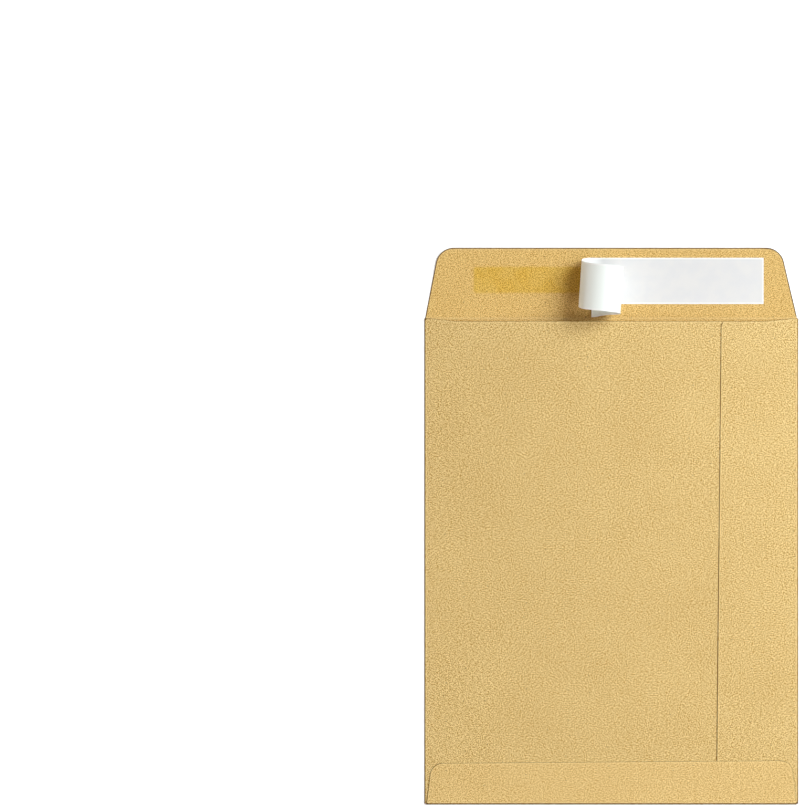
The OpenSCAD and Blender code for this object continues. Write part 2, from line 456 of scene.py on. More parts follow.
class SheetMesh:
    """A thin sheet that is laid out as grids, placed, merged and thickened.

    Args:
        name: Name of the piece.
    """

    def __init__(self, name: str) -> None:
        """Starts an empty mesh."""
        self.name = name
        self.bm = bmesh.new()
        self.layers = {mark: self.bm.verts.layers.float.new(mark.value) for mark in Mark}

    def add_grid(self, columns: int, rows: int, place: Callable[[int, int], Spot]) -> None:
        """Adds a grid and lays its corners in place.

        Args:
            columns: Number of corners along a row.
            rows: Number of rows.
            place: Gives the spot of the corner in a column and a row.
        """
        made = bmesh.ops.create_grid(self.bm, x_segments=columns - 1, y_segments=rows - 1, size=1)
        for vert in made["verts"]:
            i = round((vert.co.x + 1) / 2 * (columns - 1))
            j = round((vert.co.y + 1) / 2 * (rows - 1))
            spot = place(i, j)
            vert.co = spot.at
            for mark, layer in self.layers.items():
                vert[layer] = getattr(spot, mark.value)

    def finished(self, thickness: float, probe: Point) -> bpy.types.Object:
        """Merges the grids, turns the outer side outwards and gives the sheet its thickness.

        The side away from the outer one, and the cut edges, get the piece's second material.

        Args:
            thickness: Thickness of the sheet, which grows away from the outer side.
            probe: Point where the outer side looks down.

        Returns:
            The new object, at the origin.
        """
        bm = self.bm
        bmesh.ops.remove_doubles(bm, verts=bm.verts, dist=0.001 * MM)
        bmesh.ops.recalc_face_normals(bm, faces=bm.faces)
        nearest = min(bm.faces, key=lambda f: (f.calc_center_median() - Vector(probe)).length)
        if nearest.normal.z > 0:
            bmesh.ops.reverse_faces(bm, faces=bm.faces)
        for face in bm.faces:
            face.smooth = True
        for edge in bm.edges:
            edge.smooth = not edge.is_boundary
        mesh = bpy.data.meshes.new(self.name)
        bm.to_mesh(mesh)
        bm.free()
        piece = placed(self.name, mesh)
        solidify = piece.modifiers.new("paper thickness", "SOLIDIFY")
        solidify.thickness = thickness
        solidify.offset = -1
        solidify.material_offset = 1
        solidify.material_offset_rim = 1
        return piece


class Piece:
    """A piece of the envelope that stands for a node of the CAD model.

    Each kind names that node and a slot for its finish.
    """

    node: ClassVar[str]
    slot: ClassVar[str]

    def build(self) -> bpy.types.Object:
        """Builds the piece."""
        raise NotImplementedError

    def dress(self, outer: bpy.types.Material, inner: bpy.types.Material) -> None:
        """Builds the piece, gives it its materials and puts it in the place of its CAD node.

        Args:
            outer: Material of its outer side.
            inner: Material of its other side and its cut edges.
        """
        piece = self.build()
        for material in (outer, inner):
            piece.data.materials.append(material)
        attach(piece, BODY)
        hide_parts(self.node)
        places = list(zip(*piece.bound_box))
        low, high = in_mm(map(min, places)), in_mm(map(max, places))
        log.info("%s: %d faces, from %s to %s mm", piece.name, len(piece.data.polygons), low, high)
        solid_low, solid_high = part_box(self.node)
        log.info("  %s: from %s to %s mm", self.node, in_mm(solid_low), in_mm(solid_high))


class Stretch(Enum):
    """Stretches of the sleeve, from the free edge of the right panel round to the left one's."""

    RIGHT_BACK = "right back panel"
    RIGHT_FOLD = "right fold"
    FRONT = "front panel"
    LEFT_FOLD = "left fold"
    LEFT_BACK = "left back panel"


@dataclass(frozen=True)
class Column:
    """A line of the sleeve that runs up the blank.

    Args:
        stretch: The panel or fold that the line is on.
        place: Its x on a panel at the mouth, or its turn in radians on a fold.
        edge: The line's mark as an edge.
    """

    stretch: Stretch
    place: float
    edge: float = 0.0


@dataclass
class PaperSheet(Piece):
    """The envelope itself: front panel, side folds, two lapped back panels and two flaps.

    Args:
        sizes: Sizes of the sheet.
        form: Form of the back.
        cell: Longest side of a mesh cell.
        margin: Width of the dark strip along edges and folds, which is partly wear and partly painted shade.
        fold_steps: Steps of a half turn.
        corner_steps: Steps round a flap's corner.
        widest_margin: Largest stretch of the margin where an outline turns across the rows.
        faint: Mark of the bottom flap's top edge, which is glued down and faces the light, so its painted
            shade line is fainter.
        pressed: Mark of the bottom flap's right edge, where four layers are pressed flat; its dark line is
            partly painted shade.
        seal_flap_edge: Mark of the seal flap's free edge, which stands free; its dark outline is partly wear
            and partly painted shade.
        throat_edge: Mark of the panels' edges along the mouth, whose dark line is partly wear and mostly
            painted shade of the mouth.
        seam_edge: Mark of the right panel's free edge, whose dark line is partly a burnished cut edge and
            partly painted shadow of the step.
        bend_edge: Mark of the bottom fold, whose dark line is partly wear and partly painted shade of the
            fold.
        fold_edge: Mark of the side folds, whose dark line is partly wear and partly painted shade of the
            folds.
    """

    node: ClassVar[str] = "folded_sheet"
    slot: ClassVar[str] = "brown_paper"
    sizes: BodySizes
    form: BackForm
    cell: float = 3 * MM
    margin: float = 1.5 * MM
    fold_steps: int = 8
    corner_steps: int = 10
    widest_margin: float = 4.0
    faint: float = 0.84
    pressed: float = 0.8
    seal_flap_edge: float = 1.25
    throat_edge: float = 0.84
    seam_edge: float = 1.0
    bend_edge: float = 0.9
    fold_edge: float = 0.88

    def seal_outline(self, x: float) -> FlapOutline:
        """Outline of the seal flap, whose two sides lean a little differently.

        Args:
            x: A place on the side that is wanted.

        Returns:
            That side's outline.
        """
        s = self.sizes
        inset, lean = s.seal_flap_right if x > 0 else s.seal_flap_left
        return FlapOutline(s.half_w - inset, s.seal_flap_h, lean, s.seal_flap_r)

    def bottom_outline(self) -> FlapOutline:
        """Outline of the bottom flap, at its mean height."""
        s = self.sizes
        mean_h = (s.bottom_flap_left_h + s.bottom_flap_right_h) / 2 - s.bend_r
        return FlapOutline(s.half_w - s.bottom_flap_in, mean_h, s.bottom_flap_lean, s.bottom_flap_r)

    def front_places(self) -> List[float]:
        """X of the front panel's lines, from the right fold to the left one."""
        s = self.sizes
        right, left = self.end_places(1), self.end_places(-1)
        climb = spaced(right[-1], s.flat_x - s.climb_w, self.cell / 2)
        beside = spaced(climb[-1], s.seam_low_x, self.cell)
        step = spaced(s.seam_low_x, s.seam_low_x - s.settle_w, self.cell / 6)
        middle = spaced(step[-1], -left[-1], self.cell)
        return chained(right, climb, beside, step, middle, [-x for x in reversed(left)])

    def end_places(self, side: int) -> List[float]:
        """Outer lines of the front panel on one side.

        Args:
            side: 1 for the right side and -1 for the left one.

        Returns:
            Their distances from the middle, from the fold inwards.
        """
        bases = [self.seal_outline(side).base, self.bottom_outline().base]
        return [self.sizes.flat_x] + bases + [base - self.margin for base in bases]

    def columns(self) -> List[Column]:
        """Lines of the sleeve, round the blank."""
        s = self.sizes
        corner_x = s.seam_top_x + s.seam_corner
        climb_x = s.flat_x - s.climb_w
        lap = chained(
            [s.seam_top_x, s.seam_top_x + self.margin, corner_x],
            spaced(corner_x, s.lap_x, self.cell),
            spaced(s.lap_x, climb_x, self.cell),
            spaced(climb_x, s.flat_x - self.margin, self.cell / 2),
        )
        # The right panel's free edge and the side folds are marked for dark lines: partly wear, partly
        # painted shade of the step and of the folds.
        right = [Column(Stretch.RIGHT_BACK, x, self.seam_edge if x == s.seam_top_x else 0.0) for x in lap]
        turns = spaced(math.pi / 2, -math.pi / 2, math.pi / self.fold_steps)
        right_fold = [Column(Stretch.RIGHT_FOLD, turn, self.fold_edge) for turn in turns]
        front = [Column(Stretch.FRONT, x) for x in self.front_places()[1:-1]]
        left_fold = [Column(Stretch.LEFT_FOLD, turn, self.fold_edge) for turn in reversed(turns)]
        left_xs = chained(
            spaced(self.margin - s.flat_x, s.seam_bottom_x, self.cell),
            spaced(s.seam_bottom_x, s.lap_x - self.margin, self.cell),
            [s.lap_x - self.margin, s.lap_x],
        )
        left = [Column(Stretch.LEFT_BACK, x, 1.0 if x == s.lap_x else 0.0) for x in left_xs]
        return right + right_fold + front + left_fold + left

    def top_y(self, column: Column) -> float:
        """Top end of a line of the sleeve.

        Args:
            column: The line.

        Returns:
            Its height there: the score, or the mouth's edge on a back panel.
        """
        s = self.sizes
        if column.stretch not in (Stretch.RIGHT_BACK, Stretch.LEFT_BACK):
            return s.score_y
        top = s.throat_y(column.place)
        if column.stretch is Stretch.RIGHT_BACK:
            top -= max(0.0, s.seam_corner - (column.place - s.seam_top_x))
        return top

    def sleeve_point(self, column: Column, y: float) -> Point:
        """Point on the outer side of the sleeve.

        Args:
            column: Line of the sleeve.
            y: Height on it.

        Returns:
            The point.
        """
        s = self.sizes
        if column.stretch is Stretch.FRONT:
            return column.place, y, 0.0
        if column.stretch in (Stretch.RIGHT_FOLD, Stretch.LEFT_FOLD):
            side = 1 if column.stretch is Stretch.RIGHT_FOLD else -1
            x = side * (s.flat_x + s.fold_r * math.cos(column.place))
            return x, y, s.fold_r * (1 + math.sin(column.place))
        if column.stretch is Stretch.LEFT_BACK:
            return column.place, y, self.form.inner_z(column.place, y) + s.paper_t
        follow = min(1.0, max(0.0, (s.lap_x - column.place) / s.lap_w))
        x = column.place + follow * (s.seam_x(y) - s.seam_top_x)
        return x, y, self.form.upper_z(x, y) + s.paper_t

    def add_sleeve(self, mesh: SheetMesh) -> None:
        """Adds the front panel, the side folds and the back panels.

        Args:
            mesh: Mesh of the whole sheet.
        """
        s = self.sizes
        columns = self.columns()
        rows = chained([0, self.margin], spaced(self.margin, s.score_y - s.base_y - self.margin, self.cell))
        last = len(rows)

        def place(i: int, j: int) -> Spot:
            """Spot of a line at a row."""
            column = columns[i]
            top = self.top_y(column)
            stretch = (top - self.margin - s.base_y) / rows[-1]
            y = top if j == last else s.base_y + rows[j] * stretch
            scored = j == last and column.stretch is Stretch.FRONT
            # Dark lines along the bottom fold and the mouth's edges: partly wear, partly painted shade of
            # the fold and of the mouth.
            edge = self.bend_edge if j == 0 else column.edge
            if j == last and not scored:
                edge = max(edge, self.throat_edge)
            return Spot(self.sleeve_point(column, y), edge, float(scored))

        mesh.add_grid(len(columns), last + 1, place)

    def flap_x(self, outline: FlapOutline, x: float, h: float) -> float:
        """X of a line of a flap at a height, for a line that starts at x on the fold.

        Args:
            outline: Outline of the flap.
            x: Place of the line on the fold.
            h: Height above the fold.

        Returns:
            The line's x there. Lines inside the margin keep their distance from the free edge, and
            on the fold itself each line stays where it meets the panel's.
        """
        if h == 0:
            return x
        wide = outline.half_width(h)
        widen = min(self.widest_margin, 1 / max(1e-6, outline.facing(h)))
        from_edge = outline.base - abs(x)
        if from_edge <= self.margin:
            return math.copysign(wide - from_edge * widen, x)
        return (wide - self.margin * widen) * x / (outline.base - self.margin)

    def add_seal_flap(self, mesh: SheetMesh) -> None:
        """Adds the open seal flap above the score.

        Args:
            mesh: Mesh of the whole sheet.
        """
        s = self.sizes
        places = [x for x in self.front_places() if abs(x) <= self.seal_outline(x).base + 1e-9]
        heights = [0, self.margin] + self.seal_outline(1).rows(self.cell, self.corner_steps)[1:]

        def place(i: int, j: int) -> Spot:
            """Spot on the open flap."""
            h = heights[j]
            outline = self.seal_outline(places[i])
            x = self.flap_x(outline, places[i], h)
            y = s.score_y + h
            # Dark outline along the flap's free edge: partly cut-edge wear, partly painted shade.
            edge = max(0.0, 1 - outline.inset(x, h) / self.margin) * self.seal_flap_edge
            return Spot((x, y, s.rise(y)), edge, 1.0 if j == 0 else 0.0)

        mesh.add_grid(len(places), len(heights), place)

    def add_bottom_flap(self, mesh: SheetMesh) -> None:
        """Adds the bottom fold and the flap that is folded over the back panels.

        Args:
            mesh: Mesh of the whole sheet.
        """
        s = self.sizes
        outline = self.bottom_outline()
        places = [x for x in self.front_places() if abs(x) <= outline.base + 1e-9]
        turns = spaced(0, math.pi, math.pi / self.fold_steps)
        low = spaced(0, s.settle_h, self.cell / 3)
        rows = outline.rows(self.cell, self.corner_steps)
        high = [h for h in rows if h > s.settle_h + self.cell / 3]
        heights = sorted(low + [self.margin]) + high
        tip = outline.base - outline.lean
        left_share = (s.bottom_flap_left_h - s.bend_r) / outline.height
        right_share = (s.bottom_flap_right_h - s.bend_r) / outline.height

        def bend(i: int, j: int) -> Spot:
            """Spot on the bottom fold."""
            turn = turns[j]
            y = s.base_y - s.bend_r * math.sin(turn)
            return Spot((places[i], y, s.bend_r * (1 - math.cos(turn))), self.bend_edge)

        def lay(i: int, j: int) -> Spot:
            """Spot on the flap."""
            h = heights[j]
            x = self.flap_x(outline, places[i], h)
            y = s.base_y + h * mix(left_share, right_share, (x + tip) / (2 * tip))
            # Dark outline along the bottom flap: partly wear, partly painted shade, fainter on the top edge,
            # which faces the light, and weaker on the right side.
            edge = max(0.0, 1 - outline.inset(x, h) / self.margin)
            if outline.height - h < self.margin and abs(x) < outline.centre[0]:
                edge *= self.faint
            elif x > 0:
                edge *= self.pressed
            if j == 0:
                edge = self.bend_edge
            # The whole bottom flap is marked for a paler painted tone.
            return Spot((x, y, self.form.bottom_flap_z(x, y) + s.paper_t), edge, pale=1.0)

        mesh.add_grid(len(places), len(turns), bend)
        mesh.add_grid(len(places), len(heights), lay)

    def build(self) -> bpy.types.Object:
        """Builds the sheet, with the thickness of the paper inside its outer side."""
        mesh = SheetMesh("paper_sheet")
        self.add_sleeve(mesh)
        self.add_seal_flap(mesh)
        self.add_bottom_flap(mesh)
        return mesh.finished(self.sizes.paper_t, (0.0, 0.0, 0.0))


@dataclass
class SeamGlue(Piece):
    """Stripe of glue between the two back panels, which follows their form.

    Args:
        sizes: Sizes of the sheet.
        form: Form of the back.
    """

    node: ClassVar[str] = "seam_glue"
    slot: ClassVar[str] = "paper_glue"
    sizes: BodySizes
    form: BackForm
    cell: float = 3 * MM

    def build(self) -> bpy.types.Object:
        """Builds the stripe on the left panel."""
        s = self.sizes
        left = s.lap_x - (s.lap_w + s.seam_glue_w) / 2
        xs = spaced(left, left + s.seam_glue_w, self.cell)
        ys = spaced(s.base_y, s.score_y - s.throat_cut - s.seam_glue_stop, self.cell)

        def place(i: int, j: int) -> Spot:
            """Spot on the panel's upper face."""
            return Spot((xs[i], ys[j], self.form.inner_z(xs[i], ys[j]) + s.paper_t))

        mesh = SheetMesh("seam_glue_stripe")
        mesh.add_grid(len(xs), len(ys), place)
        return mesh.finished(s.glue_t, (left, 0.0, 0.0))


@dataclass
class AdhesiveBand(Piece):
    """Band of adhesive on the inner side of the seal flap.

    Args:
        sizes: Sizes of the sheet.
    """

    node: ClassVar[str] = "seal_adhesive"
    slot: ClassVar[str] = "adhesive"
    sizes: BodySizes
    half_w: float = 94.8 * MM
    height: float = 20.3 * MM
    thickness: float = 0.05 * MM
    corner_r: float = 3.4 * MM
    corner_steps: int = 8
    low: float = 16 * MM
    cuts: int = 8

    @property
    def middle_y(self) -> float:
        """Height of the band's middle."""
        return self.sizes.score_y + self.low + self.height / 2

    def build(self) -> bpy.types.Object:
        """Builds the band: a plate with round corners, cut across and laid on the curled flap."""
        s = self.sizes
        mesh = SheetMesh("adhesive_band")
        bm = mesh.bm
        bmesh.ops.create_grid(bm, x_segments=1, y_segments=1, size=1)
        for vert in bm.verts:
            vert.co = (vert.co.x * self.half_w, self.middle_y + vert.co.y * self.height / 2, 0)
        bmesh.ops.bevel(
            bm, geom=bm.verts[:], offset=self.corner_r, offset_type="OFFSET", segments=self.corner_steps,
            profile=0.5, affect="VERTICES", material=-1,
        )
        low_y = self.middle_y - self.height / 2
        for i in range(1, self.cuts):
            y = low_y + self.height * i / self.cuts
            bmesh.ops.bisect_plane(
                bm, geom=bm.verts[:] + bm.edges[:] + bm.faces[:], dist=1e-7,
                plane_co=(0, y, 0), plane_no=(0, 1, 0),
            )
        for vert in bm.verts:
            vert.co.z = s.rise(vert.co.y) + s.paper_t
        return mesh.finished(self.thickness, (0.0, self.middle_y, 0.0))


@dataclass(frozen=True)
class Slip:
    """How far the peeled strip has slid towards the score at one place of its roll.

    Args:
        turn: Angle that the strip has turned there, in radians.
        down: Distance towards the score, besides the one that comes from the lean of the roll.
    """

    turn: float
    down: float


SLIPS = (
    Slip(turn=0.6, down=0.0),
    Slip(turn=2.3, down=2.3 * MM),
    Slip(turn=4.2, down=1.5 * MM),
    Slip(turn=5.7, down=1.4 * MM),
    Slip(turn=6.7, down=3.1 * MM),
)


@dataclass
class ReleaseLiner(Piece):
    """Strip of release paper: flat on half of the adhesive, and rolled up in a loop past it.

    The strip's length s runs to the left from the peel line, and its height w up from its middle.
    It rolls up on a cylinder that leans by skew, so its turns drift down and its tail shows.

    Args:
        sizes: Sizes of the sheet.
        adhesive_t: Thickness of the adhesive below.
    """

    node: ClassVar[str] = "release_liner"
    slot: ClassVar[str] = "liner_paper"
    sizes: BodySizes
    adhesive_t: float
    length: float = 207.1 * MM
    right_x: float = 103.4 * MM
    height: float = 31.4 * MM
    thickness: float = 0.08 * MM
    low: float = 9.75 * MM
    peel_x: float = 7.35 * MM
    loop_r: float = 14.35 * MM
    loop_rise: float = 1.2 * MM
    skew: float = math.radians(3.8)
    margin: float = 1.6 * MM
    flat_cell: float = 3 * MM
    loop_cell: float = 0.9 * MM

    def slip(self, turn: float) -> float:
        """Distance that the strip has slid down.

        Args:
            turn: Angle that the strip has turned, in radians.

        Returns:
            The distance.
        """
        down = SLIPS[0].down
        for before, after in zip(SLIPS, SLIPS[1:]):
            down += (after.down - before.down) * ease((turn - before.turn) / (after.turn - before.turn))
        return down

    def point(self, s: float, w: float) -> Point:
        """Point on the lower face of the strip.

        Args:
            s: Distance along the strip, to the left of the peel line.
            w: Height above the middle of the strip.

        Returns:
            The point.
        """
        p = s * math.cos(self.skew) + w * math.sin(self.skew)
        q = w * math.cos(self.skew) - s * math.sin(self.skew)
        turn = max(0.0, p) / self.loop_r
        along = p if p < 0 else self.loop_r * math.sin(turn)
        x = -self.peel_x - along * math.cos(self.skew) + q * math.sin(self.skew)
        peel_y = self.sizes.score_y + self.low + self.height / 2
        y = peel_y + along * math.sin(self.skew) + q * math.cos(self.skew) - self.slip(turn)
        z = self.sizes.paper_t + self.adhesive_t + self.loop_r * (1 - math.cos(turn))
        return x, y, z + self.loop_rise * turn / (2 * math.pi) + self.sizes.rise(y)

    def build(self) -> bpy.types.Object:
        """Builds the strip."""
        right = -self.right_x - self.peel_x
        tail = right + self.length
        half = self.height / 2
        loop_start = -self.height / 4
        along = chained(
            [right, right + self.margin],
            spaced(right + self.margin, loop_start, self.flat_cell),
            spaced(loop_start, tail - self.margin, self.loop_cell),
            [tail - self.margin, tail],
        )
        across = chained(
            [-half, self.margin - half],
            spaced(self.margin - half, half - self.margin, self.flat_cell),
            [half - self.margin, half],
        )

        def place(i: int, j: int) -> Spot:
            """Spot on the strip."""
            s, w = along[i], across[j]
            inset = min(s - right, tail - s, half - abs(w))
            # The peeled roll is marked paler: partly no adhesive behind it, partly painted light on its
            # shaded face.
            return Spot(self.point(s, w), max(0.0, 1 - inset / self.margin), pale=ease(s / self.loop_r))

        mesh = SheetMesh("liner_strip")
        mesh.add_grid(len(along), len(across), place)
        return mesh.finished(self.thickness, self.point(right / 2, 0))


# Finishes


class Value:
    """A number in a node tree. Arithmetic on it adds Math nodes.

    Args:
        graph: The graph that the number is in.
        socket: The output that gives it.
    """

    def __init__(self, graph: "Graph", socket: bpy.types.NodeSocket) -> None:
        """Wraps the socket."""
        self.graph = graph
        self.socket = socket

    def math(self, operation: str, *terms: "Number") -> "Value":
        """Adds a Math node."""
        return self.graph.add("ShaderNodeMath", {"operation": operation}, dict(enumerate(terms)))

    def __add__(self, other: "Number") -> "Value":
        """Sum."""
        return self.math("ADD", self, other)

    __radd__ = __add__

    def __sub__(self, other: "Number") -> "Value":
        """Difference."""
        return self.math("SUBTRACT", self, other)

    def __rsub__(self, other: "Number") -> "Value":
        """Difference from a plain number."""
        return self.math("SUBTRACT", other, self)

    def __mul__(self, other: "Number") -> "Value":
        """Product."""
        return self.math("MULTIPLY", self, other)

    __rmul__ = __mul__

    def __truediv__(self, other: "Number") -> "Value":
        """Quotient."""
        return self.math("DIVIDE", self, other)

    def __pow__(self, other: "Number") -> "Value":
        """Power."""
        return self.math("POWER", self, other)

    def __abs__(self) -> "Value":
        """Size without its sign."""
        return self.math("ABSOLUTE", self)

    def most(self, other: "Number") -> "Value":
        """The larger of two numbers."""
        return self.math("MAXIMUM", self, other)

    def sibling(self, output: str) -> "Value":
        """Another output of the same node."""
        return Value(self.graph, self.socket.node.outputs[output])


Number = Union[float, Value]
Input = Union[Value, float, Tuple[float, ...]]


class Graph:
    """Node tree of a material or of the world.

    Args:
        owner: The material or the world.
    """

    def __init__(self, owner: Union[bpy.types.Material, bpy.types.World]) -> None:
        """Clears the owner's nodes."""
        owner.use_nodes = True
        self.tree = owner.node_tree
        self.tree.nodes.clear()

    def add(
        self,
        kind: str,
        settings: Optional[Dict[str, object]] = None,
        sockets: Optional[Dict[Union[int, str], Input]] = None,
        output: Union[int, str] = 0,
    ) -> Value:
        """Adds a node.

        Args:
            kind: The node's type.
            settings: Properties of the node, which are set first.
            sockets: Values or links of its inputs.
            output: The output that is wanted.

        Returns:
            That output.
        """
        node = self.tree.nodes.new(kind)
        for name, value in (settings or {}).items():
            setattr(node, name, value)
        for name, value in (sockets or {}).items():
            if isinstance(value, Value):
                self.tree.links.new(value.socket, node.inputs[name])
            else:
                node.inputs[name].default_value = value
        return Value(self, node.outputs[output])

    def end(self, kind: str, surface: Value) -> None:
        """Adds an output node and links the surface to it."""
        node = self.tree.nodes.new(kind)
        self.tree.links.new(surface.socket, node.inputs["Surface"])

    @cached_property
    def at(self) -> Value:
        """Object coordinates."""
        return self.add("ShaderNodeTexCoord", output="Object")

    def mark(self, mark: Mark) -> Value:
        """A mark of the vertices."""
        return self.add("ShaderNodeAttribute", {"attribute_name": mark.value}, output="Fac")

    def step(self, value: Value, low: float, high: float) -> Value:
        """Smooth step of a number, from 0 at low to 1 at high."""
        ends = {"Value": value, "From Min": low, "From Max": high}
        return self.add("ShaderNodeMapRange", {"interpolation_type": "SMOOTHSTEP"}, ends)

    def blend(self, share: Number, first: Input, second: Input, kind: str = "MIX") -> Value:
        """Mixes two colours, or multiplies them."""
        settings = {"data_type": "RGBA", "blend_type": kind}
        return self.add("ShaderNodeMix", settings, {0: share, 6: first, 7: second}, 2)

    def noise(self, grain: float, detail: int = 2, flat: bool = False, at: Optional[Value] = None) -> Value:
        """Noise from 0 to 1.

        Args:
            grain: Size of a grain in metres.
            detail: Number of finer layers.
            flat: Whether it is laid flat on X and Y, so that it is as strong at every height.
            at: Coordinates other than the object's own.

        Returns:
            The noise, with a mean of a half.
        """
        sockets = {"Vector": at or self.at, "Scale": 1 / grain, "Detail": detail, "Roughness": 0.5}
        return self.add("ShaderNodeTexNoise", {"noise_dimensions": "2D" if flat else "3D"}, sockets, "Fac")

    def turned(self, degrees: float, scale: Point) -> Value:
        """Object coordinates that are turned about Z and stretched."""
        sockets = {"Vector": self.at, "Rotation": (0, 0, math.radians(degrees)), "Scale": scale}
        return self.add("ShaderNodeMapping", {"vector_type": "POINT"}, sockets)

    def bump(self, height: Value, depth: float) -> Value:
        """Normal of a surface with bumps of a depth in metres."""
        return self.add("ShaderNodeBump", None, {"Height": height, "Distance": depth})


class Finish:
    """A finish of the pieces. Each kind has its own name and says what its shader gets."""

    name: ClassVar[str]

    def inputs(self, graph: Graph) -> Dict[str, Input]:
        """What the shader gets.

        Args:
            graph: The graph to add to.

        Returns:
            Values and links of its inputs.
        """
        raise NotImplementedError

    def material(self) -> bpy.types.Material:
        """Builds the material."""
        material = bpy.data.materials.new(self.name)
        graph = Graph(material)
        shader = graph.add("ShaderNodeBsdfPrincipled", None, self.inputs(graph))
        graph.end("ShaderNodeOutputMaterial", shader)
        return material


class Side(Enum):
    """Sides of the sheet. The outer one is grainier and a little paler than the inner one."""

    OUTER = "outer side"
    INNER = "inner side"


@dataclass(frozen=True)
class BrownPaper(Finish):
    """Uncoated brown paper: finely speckled with fibres, and darker along its cut edges and folds, partly as
    wear and partly as painted shade, with a painted highlight beside those lines.

    The marks run from 0 to 1, and each window below holds the two between which a look comes or goes.

    Args:
        side: Side of the sheet.
        crease_window: Where the pale look of the score comes, which is partly pressed paper and partly
            painted highlight.
        edge_highlight_window: Where the painted highlight beside a dark edge line comes.
        edge_highlight_end_window: Where the painted highlight goes again.
        wear_and_shade_window: Where the dark look of an edge line comes, which is partly wear and partly
            painted shade.
        wander: How much the grain shifts the dark edge line.
    """

    side: Side = Side.OUTER
    light: Colour = (251, 224, 161)
    dark: Colour = (168, 117, 14)
    # Paler tone painted over the whole bottom flap.
    toned: Colour = (255, 212, 138)
    inner_tint: Colour = (255, 247, 229)
    speck: Colour = (92, 66, 30)
    # Dark tone of the lines along cut edges and folds: partly wear, partly painted shade.
    edge: Colour = (84, 52, 3)
    # Pale tone of the score line: partly pressed paper, partly painted highlight.
    crease: Colour = (250, 222, 158)
    tone: float = 0.62
    inner_contrast: float = 4.6
    outer_contrast: float = 6.2
    cloud: float = 40 * MM
    patch: float = 5 * MM
    patch_contrast: float = 0.12
    grain: float = 0.62 * MM
    fibre: float = 0.38 * MM
    fibre_stretch: float = 0.2
    fibre_share: float = 0.4
    depth: float = 0.08 * MM
    speck_cell: float = 14 * MM
    speck_r: float = 0.032
    speck_share: float = 0.7
    speck_cover: float = 0.8
    pale_cover: float = 0.15
    crease_window: Tuple[float, float] = (0.2, 1.0)
    crease_cover: float = 0.35
    edge_highlight_window: Tuple[float, float] = (0.04, 0.25)
    edge_highlight_end_window: Tuple[float, float] = (0.35, 0.65)
    edge_highlight_cover: float = 0.3
    wear_and_shade_window: Tuple[float, float] = (0.6, 0.9)
    wear_and_shade_cover: float = 0.95
    wander: float = 0.4

    @property
    def name(self) -> str:
        """Name of the material."""
        return f"brown paper, {self.side.value}"

    @property
    def contrast(self) -> float:
        """Strength of the grain, which is softer on the smooth inner side."""
        return self.inner_contrast if self.side is Side.INNER else self.outer_contrast

    def fibres(self, graph: Graph, degrees: float) -> Value:
        """Noise that is drawn out into short fibres in one direction."""
        drawn = graph.turned(degrees, (self.fibre_stretch, 1.0, 1.0))
        return graph.noise(self.fibre, 1, flat=True, at=drawn)

    def relief(self, graph: Graph) -> Value:
        """Height of the grain and the fibres, from 0 to 1."""
        fibres = (self.fibres(graph, 18) + self.fibres(graph, 81) + self.fibres(graph, -47)) / 3
        return (1 - self.fibre_share) * graph.noise(self.grain, 1, flat=True) + self.fibre_share * fibres

    def specks(self, graph: Graph) -> Value:
        """Sparse dark specks of bark.

        Args:
            graph: The graph to add to.

        Returns:
            1 on a speck, and 0 beside it.
        """
        sockets = {"Vector": graph.at, "Scale": 1 / self.speck_cell}
        cells = graph.add("ShaderNodeTexVoronoi", {"voronoi_dimensions": "2D"}, sockets, "Distance")
        lot = graph.add("ShaderNodeSeparateColor", None, {"Color": cells.sibling("Color")}, "Red")
        chosen = graph.step(lot, self.speck_share, self.speck_share + 0.02)
        return (1 - graph.step(cells, self.speck_r / 2, self.speck_r)) * chosen

    def body(self, graph: Graph, relief: Value) -> Value:
        """Colour of the plain paper.

        Args:
            graph: The graph to add to.
            relief: Height of the grain.

        Returns:
            The colour.
        """
        uneven = graph.noise(self.patch, 1, flat=True) + graph.noise(self.cloud, 1, flat=True) - 1
        tone = self.tone + (relief - 0.5) * self.contrast + uneven * self.patch_contrast
        tone = graph.add("ShaderNodeClamp", None, {"Value": tone})
        paper = graph.blend(tone, linear(self.dark), linear(self.light))
        if self.side is Side.INNER:
            paper = graph.blend(1.0, paper, linear(self.inner_tint), "MULTIPLY")
        return graph.blend(self.specks(graph) * self.speck_cover, paper, linear(self.speck))

    def inputs(self, graph: Graph) -> Dict[str, Input]:
        """The plain paper: a paler tone painted on the bottom flap, a pale score line that is partly painted
        highlight, a painted highlight beside the edge lines, and dark edge lines that are partly wear and
        partly painted shade.
        """
        relief = self.relief(graph)
        paper = self.body(graph, relief)
        # Paler tone painted over the whole bottom flap.
        paper = graph.blend(graph.mark(Mark.PALE) * self.pale_cover, paper, linear(self.toned))
        # Pale score line: partly pressed paper, partly painted highlight.
        pressed = graph.step(graph.mark(Mark.CREASE), *self.crease_window)
        paper = graph.blend(pressed * self.crease_cover, paper, linear(self.crease))
        mark = graph.mark(Mark.EDGE)
        # Painted highlight in a thin band beside each dark edge line.
        edge_highlight = graph.step(mark, *self.edge_highlight_window) * (1 - graph.step(mark, *self.edge_highlight_end_window))
        paper = graph.blend(edge_highlight * self.edge_highlight_cover, paper, linear(self.light))
        # Dark edge lines: partly wear, partly painted shade of the folds, the outlines, the seam's step and
        # the mouth.
        toned = graph.step(mark * (1 + (relief - 0.5) * self.wander), *self.wear_and_shade_window)
        return {
            "Base Color": graph.blend(toned * self.wear_and_shade_cover, paper, linear(self.edge)),
            "Roughness": 0.55 + 0.2 * relief,
            "Specular IOR Level": 0.08,
            "Normal": graph.bump(relief, self.depth),
        }


